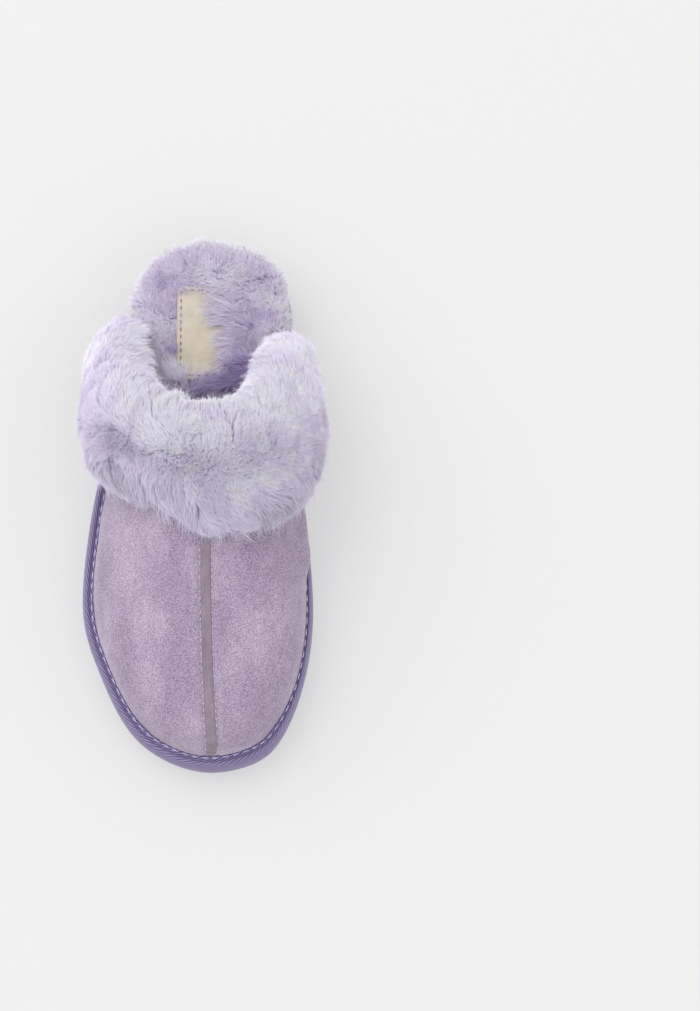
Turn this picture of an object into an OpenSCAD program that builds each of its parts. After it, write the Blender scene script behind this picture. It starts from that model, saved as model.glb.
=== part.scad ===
// A backless house slipper for the right foot: suede vamp, fleece inside, and a
// sheepskin cuff turned down over the topline. Millimetres. The toe points to -Y,
// the inner side of the foot is +X, and the slipper stands on z = 0.

/* [Size] */
// Length of the sole from toe to heel
sole_length = 256; // [230:1:290]
// Width of the sole across the ball of the foot
ball_width = 110; // [98:1:120]
// Height of the vamp above its seam, where the foot goes in
throat_rise = 50; // [42:1:60]

/* [Sole] */
// Thickness of the rubber outsole
outsole_h = 6; // [5:0.5:8]
// Depth of the tread pockets
tread_depth = 2.5; // [1:0.5:3.5]
// Distance between the tread rows
tread_pitch = 9; // [8:0.5:14]
// Thickness of the foam platform
midsole_h = 12; // [9:0.5:18]
// Thickness of the twill that wraps the platform
wrap_t = 1.2; // [0.8:0.1:1.6]
// Width of the twill that is folded under the platform
wrap_margin = 14; // [10:1:18]

/* [Footbed] */
// Thickness of the board that the upper is sewn to
board_t = 1.1; // [0.8:0.1:1.2]
// Thickness of the foam under the fleece footbed
foam_t = 3; // [2:0.5:5]
// Height of the footbed's pile
footbed_pile = 10; // [6:0.5:12]
// Length of the heel label
label_l = 46; // [30:1:50]
// Width of the heel label
label_w = 25; // [18:1:30]

/* [Upper] */
// Thickness of the suede
suede_t = 1.5; // [1:0.1:2]
// Thickness of the knitted back of the lining
lining_t = 0.8; // [0.6:0.1:1.2]
// Height of the lining's pile
lining_pile = 6; // [4:0.5:8]
// Width of the tape over the centre seam
tape_w = 4.6; // [4:0.2:7]
// Thickness of that tape
tape_t = 0.8; // [0.6:0.1:1.2]

/* [Cuff] */
// Width of the sheepskin strip, measured from the topline
cuff_w = 42; // [34:1:46]
// Thickness of its hide
hide_t = 1.2; // [0.8:0.1:1.6]
// Height of its wool
wool_h = 19; // [12:1:22]

/* [Stitches] */
// Thickness of the thread
thread_d = 0.8; // [0.5:0.1:1]
// Distance between stitches round the sole
seam_pitch = 5.5; // [4:0.5:8]
// Distance between stitches beside the tape
tape_pitch = 3.4; // [3:0.1:5]

/* [Hidden] */

gap = 0.1;              // clearance between layers that are glued or sewn together
wrap_top = outsole_h + wrap_t + midsole_h + wrap_t;
base = wrap_top + gap;  // the upper stands here
sections = 80;          // points round the sole
lateral = -1;
medial = 1;

// The outline of the sole at eleven stations from toe to heel, and the height of the vamp's
// crown there: [share of the length, outer edge and inner edge as shares of the ball width,
// share of the throat's rise].
stations = [
    [0.000,  0.041, 0.041, 0.00],
    [0.021, -0.155, 0.246, 0.26],
    [0.074, -0.310, 0.362, 0.45],
    [0.172, -0.433, 0.446, 0.60],
    [0.289, -0.517, 0.481, 0.71],
    [0.441, -0.500, 0.459, 0.83],
    [0.609, -0.430, 0.410, 1.00],
    [0.781, -0.345, 0.388, 1.06],
    [0.902, -0.306, 0.370, 1.08],
    [0.969, -0.196, 0.255, 1.08],
    [1.000,  0.032, 0.032, 1.08]];
last = len(stations) - 1;

throat_station = 5.98;  // where the topline crosses the crown
side_station = 7.2;     // where it comes down to the sole
station_mm = 0.17 * sole_length;    // length of one station near the topline
// The cuff's strip is narrow on the outer side of the foot and widest on its inner side:
// [place b across the foot, share of the cuff's width].
strip_shape = [[-1, 0.90], [-0.6, 0.83], [-0.3, 0.73], [-0.15, 0.78], [0, 0.89], [0.2, 1.02],
    [0.45, 1.14], [0.7, 1.23], [1, 1.21]];
label_station = 7.235;  // where the middle of the label lies
label_t = 1.2;
label_margin = 2;       // from the label's edge to its stitches

// ---- curves -------------------------------------------------------------------------------

function mix(a, b, f) = a + (b - a) * f;
function clamp(v) = min(1, max(0, v));
function smooth(v) = let (c = clamp(v)) c * c * (3 - 2 * c);

function cubic(p0, p1, p2, p3, f) =
    p1 + f / 2 * (p2 - p0 + f * (2 * p0 - 5 * p1 + 4 * p2 - p3 + f * (3 * p1 - p0 - 3 * p2 + p3)));

// Station i of one side; past the toe and the heel it goes on along the other side.
function station(side, i) =
    i < 0 ? let (s = stations[-i]) [s[0], side < 0 ? s[2] : s[1], -s[3]]
    : i > last ? let (s = stations[2 * last - i]) [s[0], side < 0 ? s[2] : s[1], s[3]]
    : let (s = stations[i]) [s[0], side < 0 ? s[1] : s[2], s[3]];

function along(side, t) =
    let (i = floor(t))
    cubic(station(side, i - 1), station(side, i), station(side, i + 1), station(side, i + 2), t - i);

function outline(side, t) =
    let (s = along(side, t)) [s[1] * ball_width, (s[0] - 0.5) * sole_length];

function rise(t) = along(medial, t)[2] * throat_rise;

function inward(side, t) =
    let (step = 0.02, d = outline(side, t + step) - outline(side, t - step), n = d / norm(d))
    [-side * n[1], side * n[0]];

// A point that lies that far inside the sole's edge.
function edge(side, t, inset) = outline(side, t) + inset * inward(side, t);

// How far the seam between upper and sole lies inside the edge.
function seam(side, t) = mix(6.5, side < 0 ? 5.7 : 3.7, smooth((t - 0.6) / 2.6));

// The whole outline as one closed list of [side, t], evenly spread over the stations.
function round_list(n) =
    [for (i = [0:n - 1]) let (t = 2 * last * i / n) t < last ? [lateral, t] : [medial, 2 * last - t]];

function ring(n, inset) = [for (p = round_list(n)) edge(p[0], p[1], inset)];

// ---- the upper's surface ------------------------------------------------------------------

// The crown line runs almost straight down the vamp and swings inwards near the toe.
function crown_x(t) = mix(stations[0][1] * ball_width, 3, clamp(t / 6))
    + 1.5 * sin(90 * clamp(t / 1.1)) * (1 - smooth((t - 1.1) / 3.2));

// b runs across from -1 at the outer seam over 0 at the crown to 1 at the inner seam,
// and depth goes inwards from the face of the suede.
function upper(t, b, depth) =
    let (side = b < 0 ? lateral : medial,
        here = edge(side, t, seam(side, t) + depth),
        there = edge(-side, t, seam(-side, t) + depth),
        crown = [crown_x(t), (here[1] + there[1]) / 2],
        plan = crown + (here - crown) * pow(sin(90 * abs(b)), 0.9),
        high = rise(t) - depth * min(1, rise(t) / 12))
    [plan[0], plan[1], base + high * pow(cos(90 * b), 0.9)];

function topline(b) = mix(throat_station, side_station, pow(abs(b), 1.6));

// ---- solids -------------------------------------------------------------------------------

function quads(n, m, start, flip) = [for (i = [0:n - 2], j = [0:m - 2])
    let (a = start + i * m + j, b = a + 1, c = a + m + 1, d = a + m)
    each flip ? [[a, b, c], [a, c, d]] : [[a, c, b], [a, d, c]]];

function strip(p, q, flip) = [for (i = [0:len(p) - 2])
    each flip ? [[p[i], q[i], q[i + 1]], [p[i], q[i + 1], p[i + 1]]]
        : [[p[i], q[i + 1], q[i]], [p[i], p[i + 1], q[i + 1]]]];

// A sheet with an outer and an inner face, each a grid of points of the same size.
module sheet(outer, inner, flip = false) {
    n = len(outer);
    m = len(outer[0]);
    size = n * m;
    first = [for (j = [0:m - 1]) j];
    final = [for (j = [0:m - 1]) (n - 1) * m + j];
    near = [for (i = [0:n - 1]) i * m];
    far = [for (i = [0:n - 1]) i * m + m - 1];
    back = [for (v = [first, final, near, far]) [for (k = v) k + size]];
    polyhedron(
        points = concat([for (r = outer) each r], [for (r = inner) each r]),
        faces = concat(quads(n, m, 0, flip), quads(n, m, size, !flip),
            strip(first, back[0], flip), strip(final, back[1], !flip),
            strip(near, back[2], !flip), strip(far, back[3], flip)));
}

// A closed tube through rings of the same length; with a lid at each end, or joined into a loop.
module tube(rings, looped = false, flip = false) {
    n = len(rings);
    m = len(rings[0]);
    last_ring = looped ? n - 1 : n - 2;
    sides = [for (i = [0:last_ring], j = [0:m - 1])
        let (a = i * m + j, b = i * m + (j + 1) % m, k = (i + 1) % n,
            c = k * m + (j + 1) % m, d = k * m + j)
        each flip ? [[a, b, c], [a, c, d]] : [[a, c, b], [a, d, c]]];
    front = [for (j = [0:m - 1]) j];
    rear = [for (j = [0:m - 1]) (n - 1) * m + m - 1 - j];
    lids = looped ? [] : flip ? [[for (j = [m - 1:-1:0]) front[j]], [for (j = [m - 1:-1:0]) rear[j]]]
        : [front, rear];
    polyhedron(points = [for (r = rings) each r], faces = concat(sides, lids));
}

// A flat layer that follows the sole's outline.
module layer(inset, from, thick) {
    translate([0, 0, from]) linear_extrude(thick) polygon(ring(sections, inset));
}

// One straight stitch that covers a share of the way between two points.
module stitch(from, to, share = 0.72, thick = thread_d) {
    way = to - from;
    start = from + way * (1 - share) / 2;
    turn = atan2(way[1], way[0]);
    tilt = acos(way[2] / norm(way));
    translate(start) rotate([0, tilt, turn]) cylinder(h = norm(way) * share, d = thick, $fn = 16);
}

// ---- sole ---------------------------------------------------------------------------------

pocket_l = 11;          // tread pockets: length across the sole, width and the land between them
pocket_w = 4;
pocket_land = 4;
tread_margin = 8;       // from the sole's edge to the pockets
tread_narrowest = 24;   // rows shorter than this are left out

module tread_row(y, wide) {
    step = pocket_l + pocket_land;
    reach = (pocket_l - pocket_w) / 2;
    count = floor(wide / step);
    for (k = [0:count - 1])
        translate([(k - (count - 1) / 2) * step, y, -1])
            linear_extrude(tread_depth + 1) {
                for (side = [-1, 1]) translate([side * reach, 0]) circle(d = pocket_w, $fn = 24);
                square([2 * reach, pocket_w], center = true);
            }
}

module outsole() {
    rows = floor(sole_length / tread_pitch) - 3;
    color([0.52, 0.46, 0.62]) difference() {
        layer(0.6, 0, outsole_h);
        for (r = [0:rows]) {
            y = (r - rows / 2) * tread_pitch;
            t = max(0.6, min(9.4, station_of(y)));
            left = edge(lateral, t, tread_margin)[0];
            right = edge(medial, t, tread_margin)[0];
            if (right - left > tread_narrowest)
                translate([(left + right) / 2, 0, 0]) tread_row(y, right - left);
        }
    }
}

// The station whose place along the sole is y.
function station_of(y, low = 0, high = 10, steps = 14) =
    steps == 0 ? (low + high) / 2
    : let (mid = (low + high) / 2)
        outline(medial, mid)[1] < y ? station_of(y, mid, high, steps - 1)
            : station_of(y, low, mid, steps - 1);

module midsole() {
    color([0.93, 0.92, 0.90]) {
        layer(wrap_t + gap, outsole_h + wrap_t, midsole_h);
        layer(wrap_margin + gap, outsole_h, wrap_t);
    }
}

// The twill band: folded under the platform, up its side, over a soft roll and in under the upper.
function wrap_profile(side, t) =
    let (s = seam(side, t), top = wrap_top, foot = outsole_h + gap,
        high = top - foot, fold = outsole_h + wrap_t - gap)
    [[wrap_margin, foot], [2, foot], [0.5, foot + 0.8],
        [0.1, foot + 0.3 * high], [0, foot + 0.6 * high], [0.08 * s, foot + 0.85 * high],
        [0.22 * s, top + 0.35], [0.38 * s, top + 0.75], [0.52 * s, top + 0.4],
        [0.62 * s, top], [s + 5, top], [s + 5, top - wrap_t + gap],
        [wrap_t, top - wrap_t + gap], [wrap_t, fold], [wrap_margin, fold]];

module platform_wrap() {
    color([0.53, 0.48, 0.67]) tube([for (p = round_list(sections))
        [for (c = wrap_profile(p[0], p[1])) let (e = edge(p[0], p[1], c[0])) [e[0], e[1], c[1]]]],
        looped = true);
}

module sock_board() {
    color([0.80, 0.76, 0.68]) translate([0, 0, outsole_h + wrap_t + midsole_h + gap])
        linear_extrude(board_t) polygon([for (p = round_list(sections))
            edge(p[0], p[1], seam(p[0], p[1]) + 5 + gap)]);
}

// ---- footbed ------------------------------------------------------------------------------

// The footbed lies inside the lining, and past the cuff it spreads to the edge of the sole.
function footbed_inset(side, t) =
    mix(seam(side, t) + suede_t + lining_t + 3 * gap, -2, smooth((t - 7.12) / 0.35));

module footbed_foam() {
    color([0.88, 0.86, 0.92]) translate([0, 0, base])
        linear_extrude(foam_t) polygon([for (p = round_list(sections))
            edge(p[0], p[1], max(seam(p[0], p[1]) + 1.7, footbed_inset(p[0], p[1]) + 3))]);
}

pile_floor = base + foam_t + gap;
pile_top = pile_floor + footbed_pile;

module footbed_fleece() {
    profile = [[3.2, 0], [1.6, 0.15 * footbed_pile], [1.3, 0.35 * footbed_pile],
        [2.6, 0.65 * footbed_pile], [5, 0.88 * footbed_pile], [9, footbed_pile]];
    color([0.74, 0.68, 0.82]) tube([for (c = profile) [for (p = round_list(sections))
        let (toe = mix(1.8, 1, smooth(p[1] / 3)),
            e = edge(p[0], p[1], footbed_inset(p[0], p[1]) + c[0] * toe))
        [e[0], e[1], pile_floor + c[1]]]], flip = true);
}

label_middle = (outline(lateral, label_station) + outline(medial, label_station)) / 2 + [-2.8, 0];

module heel_label() {
    color([0.86, 0.83, 0.74]) translate([label_middle[0], label_middle[1], pile_top + gap])
        linear_extrude(label_t) square([label_w, label_l], center = true);
}

module label_stitching() {
    high = pile_top + gap + label_t + thread_d / 2 + 0.02;
    reach = [label_w / 2 - label_margin, label_l / 2 - label_margin];
    function corner(k) = [label_middle[0] + [1, 1, -1, -1][k % 4] * reach[0],
        label_middle[1] + [-1, 1, 1, -1][k % 4] * reach[1], high];
    color([0.62, 0.56, 0.68]) for (k = [0:3]) {
        from = corner(k);
        to = corner(k + 1);
        count = round(norm(to - from) / 4);
        for (i = [0:count - 1]) stitch(mix(from, to, i / count), mix(from, to, (i + 1) / count), 0.6);
    }
}

// ---- upper --------------------------------------------------------------------------------

along_steps = 20;
across_steps = 9;
seam_slit = 0.004;      // half the slit between the halves, where the closing seam lies
toe_start = 0.04;
cuff_end = 0.965;       // the cuff stops this far round, just above the sole

function panel(from, to, depth, steps = across_steps) = [for (i = [0:along_steps])
    [for (j = [0:steps]) let (b = mix(from, to, j / steps))
        upper(mix(toe_start, topline(b), i / along_steps), b, depth)]];

module vamp_half(side) {
    from = side < 0 ? -1 : seam_slit;
    to = side < 0 ? -seam_slit : 1;
    color([0.70, 0.64, 0.75]) sheet(panel(from, to, 0), panel(from, to, suede_t));
}

module vamp_lateral() vamp_half(lateral);
module vamp_medial() vamp_half(medial);

module vamp_lining() {
    face = suede_t + gap;
    steps = 2 * across_steps;
    color([0.80, 0.76, 0.86]) sheet(panel(-1, 1, face, steps), panel(-1, 1, face + lining_t, steps));
}

module vamp_fleece() {
    outer_face = suede_t + lining_t + 5 * gap;
    inner_face = outer_face + lining_pile;
    start = 2.3;
    // How far across the pile reaches before it meets the footbed's.
    function reach(t) =
        acos(pow(min(0.97, (pile_top + 1.2 - base) / (rise(t) - inner_face)), 1 / 0.9)) / 90;
    function face(depth) = [for (i = [0:along_steps]) [for (j = [-8:8])
        let (t0 = mix(start, topline(j / 8), i / along_steps), b = j / 8 * reach(t0))
        upper(mix(start, topline(b), i / along_steps), b, depth)]];
    color([0.74, 0.68, 0.82]) sheet(face(outer_face), face(inner_face));
}

// Half the angle that the tape takes at a station.
function tape_reach(t, half) =
    let (wide = norm(upper(t, 1, 0) - upper(t, 0, 0)) * 0.9)
    asin(pow(min(0.9, half / wide), 1 / 0.9)) / 90;

// The tape stops short of the cuff's hide.
tape_end = throat_station - (strip_w(0) + 2) / station_mm;

module centre_tape() {
    steps = 24;
    function face(depth) = [for (i = [0:steps]) [for (j = [-2:2])
        let (t = mix(0.12, tape_end, i / steps))
        upper(t, j / 2 * tape_reach(t, tape_w / 2), depth)]];
    color([0.60, 0.56, 0.62]) sheet(face(-gap - tape_t), face(-gap));
}

// A row of stitches along the vamp, that far to one side of its crown and above its face.
module vamp_row(side, off, lift, pitch, from, to, share) {
    length = outline(medial, to)[1] - outline(medial, from)[1];
    count = round(length / pitch);
    function spot(i) = let (t = mix(from, to, i / count))
        upper(t, side * tape_reach(t, off), -lift);
    for (i = [0:count - 1]) stitch(spot(i), spot(i + 1), share);
}

module tape_stitches(side) {
    color([0.82, 0.78, 0.88])
        vamp_row(side, tape_w / 2 + 0.5, thread_d / 2 + 0.05, tape_pitch, 0.5, tape_end - 0.02, 0.55);
}

module tape_stitches_lateral() tape_stitches(lateral);
module tape_stitches_medial() tape_stitches(medial);

// The seam that joins the two halves of the vamp: thread in the slit under the tape.
module closing_stitches() {
    count = 36;
    function spot(i) = upper(mix(1.8, 5.9, i / count), 0, suede_t / 2);
    color([0.78, 0.74, 0.84]) for (i = [0:count - 1]) stitch(spot(i), spot(i + 1), 0.7, 0.45);
}

// ---- cuff ---------------------------------------------------------------------------------

function cuff_point(b, back, high) = upper(topline(b) - back / station_mm, b, -high);

function strip_w(b) = cuff_w * lookup(b, strip_shape);

cuff_steps = 30;        // sections round the cuff
strip_steps = 6;        // points across its hide

module cuff_hide() {
    function face(high) = [for (i = [0:strip_steps]) [for (j = [0:cuff_steps])
        let (b = mix(-cuff_end, cuff_end, j / cuff_steps))
        cuff_point(b, strip_w(b) * (1 - i / strip_steps), high)]];
    color([0.86, 0.84, 0.80]) sheet(face(3 * gap + hide_t), face(3 * gap));
}

seam_room = thread_d + 0.6;     // the topline's seam lies between vamp and wool

// The wool's section at b: [distance forward of the topline, height above the suede].
function wool_profile(b) =
    let (foot = 4 * gap + hide_t, over = 5, ends = smooth((1 - abs(b)) / 0.25),
        behind = mix(seam_room + 0.4, 9, ends), in = smooth((0.72 - abs(b)) / 0.2),
        tall = wool_h * mix(0.8, 1, ends) * mix(1, b < 0 ? 1 : 1.12, smooth(abs(b))),
        half = (strip_w(b) + over + behind) / 2, middle = (strip_w(b) + over - behind) / 2)
    concat(
        [for (k = [0:12]) let (a = 15 * k)
            [middle + half * cos(a), foot + tall * pow(sin(a), 0.75)]],
        [[-behind * 0.9, foot - 5 * in], [-behind * 0.5, foot - 8 * in - 0.2],
            [-seam_room, foot - 8.5 * in - 0.3], [-seam_room, foot]],
        [for (k = [0:strip_steps]) [strip_w(b) * k / strip_steps, foot]]);

module cuff_wool() {
    color([0.87, 0.85, 0.93]) tube([for (j = [0:cuff_steps])
        let (b = mix(-cuff_end, cuff_end, j / cuff_steps))
        [for (p = wool_profile(b)) cuff_point(b, p[0], p[1])]], flip = true);
}

// ---- seams --------------------------------------------------------------------------------

module topline_stitches() {
    count = 44;
    function spot(i) = let (b = mix(-0.88, 0.88, i / count))
        upper(topline(b) + seam_room / 2 / station_mm, b, suede_t / 2);
    color([0.80, 0.76, 0.86]) for (i = [0:count - 1]) stitch(spot(i), spot(i + 1), 0.6);
}

// A row of stitches on the twill, along one side of the sole.
module sole_row(side, from, to, inset, high) {
    length = norm(outline(side, to) - outline(side, from)) * 1.08;
    count = round(length / seam_pitch);
    function spot(i) = let (t = mix(from, to, i / count),
        e = edge(side, t, seam(side, t) - inset)) [e[0], e[1], high];
    for (i = [0:count - 1]) stitch(spot(i), spot(i + 1));
}

module sole_seam_stitches() {
    color([0.76, 0.73, 0.85]) for (side = [lateral, medial]) for (k = [0:6])
        sole_row(side, k, k + 1, 0.6, wrap_top + thread_d / 2 + 0.02);
}

module heel_seam_stitches() {
    color([0.45, 0.40, 0.52]) for (side = [lateral, medial]) for (k = [7:9])
        sole_row(side, k + (k == 7 ? 0.2 : 0), k + 1, 0.6, wrap_top + thread_d / 2 + 0.02);
}

outsole();
midsole();
platform_wrap();
sock_board();
footbed_foam();
footbed_fleece();
heel_label();
label_stitching();
vamp_lateral();
vamp_medial();
centre_tape();
closing_stitches();
tape_stitches_lateral();
tape_stitches_medial();
vamp_lining();
vamp_fleece();
cuff_hide();
cuff_wool();
topline_stitches();
sole_seam_stitches();
heel_seam_stitches();
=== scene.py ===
"""Looks of a fluffy house slipper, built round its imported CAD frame.

The shape functions repeat those of the CAD, in millimetres. raw_mesh turns them into metres. What
shows is replaced by detailed meshes, and all wool is real strands.
"""

import math

import bmesh
import bpy
import numpy as np
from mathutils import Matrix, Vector
from mathutils.kdtree import KDTree


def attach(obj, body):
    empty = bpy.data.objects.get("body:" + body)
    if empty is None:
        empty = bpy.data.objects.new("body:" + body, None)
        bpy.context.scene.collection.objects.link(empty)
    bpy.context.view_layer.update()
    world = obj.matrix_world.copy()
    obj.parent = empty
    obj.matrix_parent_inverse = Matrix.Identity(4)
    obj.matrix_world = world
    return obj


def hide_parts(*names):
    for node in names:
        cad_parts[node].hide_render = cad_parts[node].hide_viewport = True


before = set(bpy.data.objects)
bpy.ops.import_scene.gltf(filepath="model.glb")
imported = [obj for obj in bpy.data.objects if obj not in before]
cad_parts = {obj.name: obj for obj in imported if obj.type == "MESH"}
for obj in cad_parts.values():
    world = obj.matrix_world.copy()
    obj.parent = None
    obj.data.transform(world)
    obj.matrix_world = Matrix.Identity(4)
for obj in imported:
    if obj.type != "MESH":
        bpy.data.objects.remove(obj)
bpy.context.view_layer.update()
MM = 0.001

# ---- the slipper's driving sizes, as in the CAD, in millimetres ----

SOLE_LENGTH, BALL_WIDTH, THROAT_RISE = 256.0, 110.0, 50.0
OUTSOLE_H, MIDSOLE_H, WRAP_T = 6.0, 12.0, 1.2
TREAD_DEPTH, TREAD_PITCH = 2.5, 9.0
FOAM_T, FOOTBED_PILE = 3.0, 10.0
LABEL_L, LABEL_W, LABEL_STATION = 46.0, 25.0, 7.235
SUEDE_T, LINING_T, TAPE_W = 1.5, 0.8, 4.6
CUFF_W, HIDE_T, WOOL_H = 42.0, 1.2, 19.0
SEAM_PITCH, TAPE_PITCH, LABEL_PITCH = 5.5, 3.4, 3.6
GAP = 0.1
WRAP_TOP = OUTSOLE_H + WRAP_T + MIDSOLE_H + WRAP_T
BASE = WRAP_TOP + GAP
PILE_TOP = BASE + FOAM_T + GAP + FOOTBED_PILE
THROAT_STATION, SIDE_STATION = 5.98, 7.2
STATION_MM = 0.17 * SOLE_LENGTH
CUFF_END = 0.965
SEAM_AT_TOE, SEAM_OUTER, SEAM_INNER = 6.5, 5.7, 3.7
CROWN_AT_THROAT, CROWN_SWING = 3.0, 1.5
ROUNDNESS = 0.9  # power of the sine and cosine in the upper's cross-section
LATERAL, MEDIAL = -1.0, 1.0

# share of the length, outer edge, inner edge (shares of the ball width), share of the rise
STATIONS = [
    (0.000, 0.041, 0.041, 0.00),
    (0.021, -0.155, 0.246, 0.26),
    (0.074, -0.310, 0.362, 0.45),
    (0.172, -0.433, 0.446, 0.60),
    (0.289, -0.517, 0.481, 0.71),
    (0.441, -0.500, 0.459, 0.83),
    (0.609, -0.430, 0.410, 1.00),
    (0.781, -0.345, 0.388, 1.06),
    (0.902, -0.306, 0.370, 1.08),
    (0.969, -0.196, 0.255, 1.08),
    (1.000, 0.032, 0.032, 1.08),
]
LAST = len(STATIONS) - 1
BEYOND = 3  # stations repeated past the toe and the heel


# ---- curves and surfaces ----


def mix(a, b, f):
    return a + (b - a) * f


def smooth(v):
    v = np.clip(v, 0.0, 1.0)
    return v * v * (3 - 2 * v)


def unit(v):
    return v / (np.linalg.norm(v, axis=-1, keepdims=True) + 1e-9)


def bump(x, middle, width):
    return np.exp(-(((x - middle) / width) ** 2))


def side_table(side):
    own, other = (1, 2) if side < 0 else (2, 1)
    rows = []
    for i in range(-BEYOND, LAST + BEYOND + 1):
        turn = -i if i < 0 else 2 * LAST - i if i > LAST else i
        s = STATIONS[turn]
        across = s[own] if 0 <= i <= LAST else s[other]
        rows.append((s[0], across, -s[3] if i < 0 else s[3]))
    return rows


TABLE = np.array([side_table(LATERAL), side_table(MEDIAL)])


def catmull(p0, p1, p2, p3, f):
    """The Catmull-Rom curve from p1 to p2."""
    return p1 + f / 2 * (p2 - p0 + f * (2 * p0 - 5 * p1 + 4 * p2 - p3 + f * (3 * p1 - p0 - 3 * p2 + p3)))


def along(side, t):
    """A curve through the stations: share of length, share of width, share of rise."""
    side, t = np.broadcast_arrays(np.asarray(side, float), np.asarray(t, float))
    k = (side > 0).astype(int)
    i = np.floor(t).astype(int)
    return catmull(*(TABLE[k, i + BEYOND + o] for o in (-1, 0, 1, 2)), (t - i)[..., None])


def outline(side, t):
    s = along(side, t)
    return np.stack([s[..., 1] * BALL_WIDTH, (s[..., 0] - 0.5) * SOLE_LENGTH], -1)


def rise(t):
    return along(MEDIAL, t)[..., 2] * THROAT_RISE


def inward(side, t):
    """The direction across the sole's edge, in plan."""
    d = outline(side, t + 0.02) - outline(side, t - 0.02)
    n = d / np.linalg.norm(d, axis=-1, keepdims=True)
    side = np.broadcast_to(side, n.shape[:-1])
    return np.stack([-side * n[..., 1], side * n[..., 0]], -1)


def edge(side, t, inset):
    return outline(side, t) + np.asarray(inset)[..., None] * inward(side, t)


def seam(side, t):
    """How far in from the sole's edge the upper meets the twill."""
    beside = np.where(np.asarray(side) < 0, SEAM_OUTER, SEAM_INNER)
    return mix(SEAM_AT_TOE, beside, smooth((np.asarray(t) - 0.6) / 2.6))


def crown_x(t):
    swing = np.sin(np.pi / 2 * np.clip(t / 1.1, 0, 1)) * (1 - smooth((t - 1.1) / 3.2))
    return mix(STATIONS[0][1] * BALL_WIDTH, CROWN_AT_THROAT, np.clip(t / 6, 0, 1)) + CROWN_SWING * swing


def at_height(plan, z):
    return np.concatenate([plan, np.broadcast_to(z, plan.shape[:-1])[..., None]], -1)


def upper(t, b, depth):
    """The upper's surface: b from -1 at the outer seam over 0 at the crown to 1 at the inner one."""
    t, b, depth = np.broadcast_arrays(*(np.asarray(v, float) for v in (t, b, depth)))
    side = np.where(b < 0, LATERAL, MEDIAL)
    here = edge(side, t, seam(side, t) + depth)
    there = edge(-side, t, seam(-side, t) + depth)
    crown = np.stack([crown_x(t), (here[..., 1] + there[..., 1]) / 2], -1)
    plan = crown + (here - crown) * (np.sin(np.pi / 2 * np.abs(b)) ** ROUNDNESS)[..., None]
    high = rise(t) - depth * np.minimum(1, rise(t) / 12)
    z = BASE + high * np.cos(np.pi / 2 * np.clip(b, -1, 1)) ** ROUNDNESS
    return at_height(plan, z)


def topline(b):
    """The t of the upper's top edge."""
    return mix(THROAT_STATION, SIDE_STATION, np.abs(b) ** 1.6)


def around(n):
    """The side and t of n places spread evenly round the sole's edge, and the edge's length."""
    fine = np.linspace(0, 2 * LAST, 4001)
    side = np.where(fine < LAST, LATERAL, MEDIAL)
    p = outline(side, np.where(fine < LAST, fine, 2 * LAST - fine))
    far = np.concatenate([[0], np.cumsum(np.linalg.norm(np.diff(p, axis=0), axis=1))])
    spot = np.interp(np.arange(n) / n * far[-1], far, fine)
    return np.where(spot < LAST, LATERAL, MEDIAL), np.where(spot < LAST, spot, 2 * LAST - spot), far[-1]


def lattice(i, seed):
    """A number from 0 to 1 for each whole-number place, by a hash."""
    n = i[..., 0] * 374761393 + i[..., 1] * 668265263 + i[..., 2] * 1440662683 + seed * 974634777
    n = (n ^ (n >> 13)) * 1274126177
    return ((n ^ (n >> 16)) & 0xFFFFFF) / float(0xFFFFFF)


def noise(p, size, seed=0):
    """Smooth noise from -1 to 1 whose lumps are about size across."""
    q = np.asarray(p, float) / size
    i = np.floor(q).astype(np.int64)
    f = q - i
    f = f * f * (3 - 2 * f)
    total = 0.0
    for corner in np.ndindex(2, 2, 2):
        share = np.prod(np.where(np.array(corner) == 1, f, 1 - f), axis=-1)
        total = total + share * lattice(i + np.array(corner), seed)
    return total * 2 - 1


def swirl(p, size, seed):
    """A smooth random direction at each point."""
    return np.stack([noise(p, size, seed + k) for k in range(3)], -1)


# ---- meshes ----


def linked(name, data):
    """A new object in the scene."""
    thing = bpy.data.objects.new(name, data)
    bpy.context.scene.collection.objects.link(thing)
    return thing


def place(name, mesh, material, replaced=()):
    """A piece that rides on the slipper and stands in for the replaced CAD nodes."""
    piece = linked(name, mesh)
    mesh.materials.append(material)
    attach(piece, "root")
    if replaced:
        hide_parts(*replaced)
    return piece


def raw_mesh(name, points, faces, uv_name=None, uv=None):
    """A mesh from points in millimetres and faces, an (n, 3) or (n, 4) array or a list of these."""
    blocks = [np.asarray(f) for f in (faces if isinstance(faces, list) else [faces])]
    mesh = bpy.data.meshes.new(name)
    mesh.vertices.add(len(points))
    mesh.vertices.foreach_set("co", (np.asarray(points) * MM).astype(np.float32).ravel())
    corners = np.concatenate([f.ravel() for f in blocks])
    sizes = np.concatenate([np.full(len(f), f.shape[1]) for f in blocks])
    mesh.loops.add(len(corners))
    mesh.loops.foreach_set("vertex_index", corners.astype(np.int32))
    mesh.polygons.add(len(sizes))
    mesh.polygons.foreach_set("loop_start", np.concatenate([[0], np.cumsum(sizes)[:-1]]).astype(np.int32))
    mesh.update(calc_edges=True)
    if uv is not None:
        layer = mesh.uv_layers.new(name=uv_name)
        layer.data.foreach_set("uv", np.asarray(uv)[corners].astype(np.float32).ravel())
    mesh.shade_smooth()
    mesh.validate()
    return mesh


def quads(rows, cols, start=0, loop_rows=False, loop_cols=False):
    """Faces of a grid of points, which may close on itself either way."""
    i, j = np.indices((rows if loop_rows else rows - 1, cols if loop_cols else cols - 1))
    i2, j2 = (i + 1) % rows, (j + 1) % cols
    return start + np.stack([i * cols + j, i2 * cols + j, i2 * cols + j2, i * cols + j2], -1).reshape(-1, 4)


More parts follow.
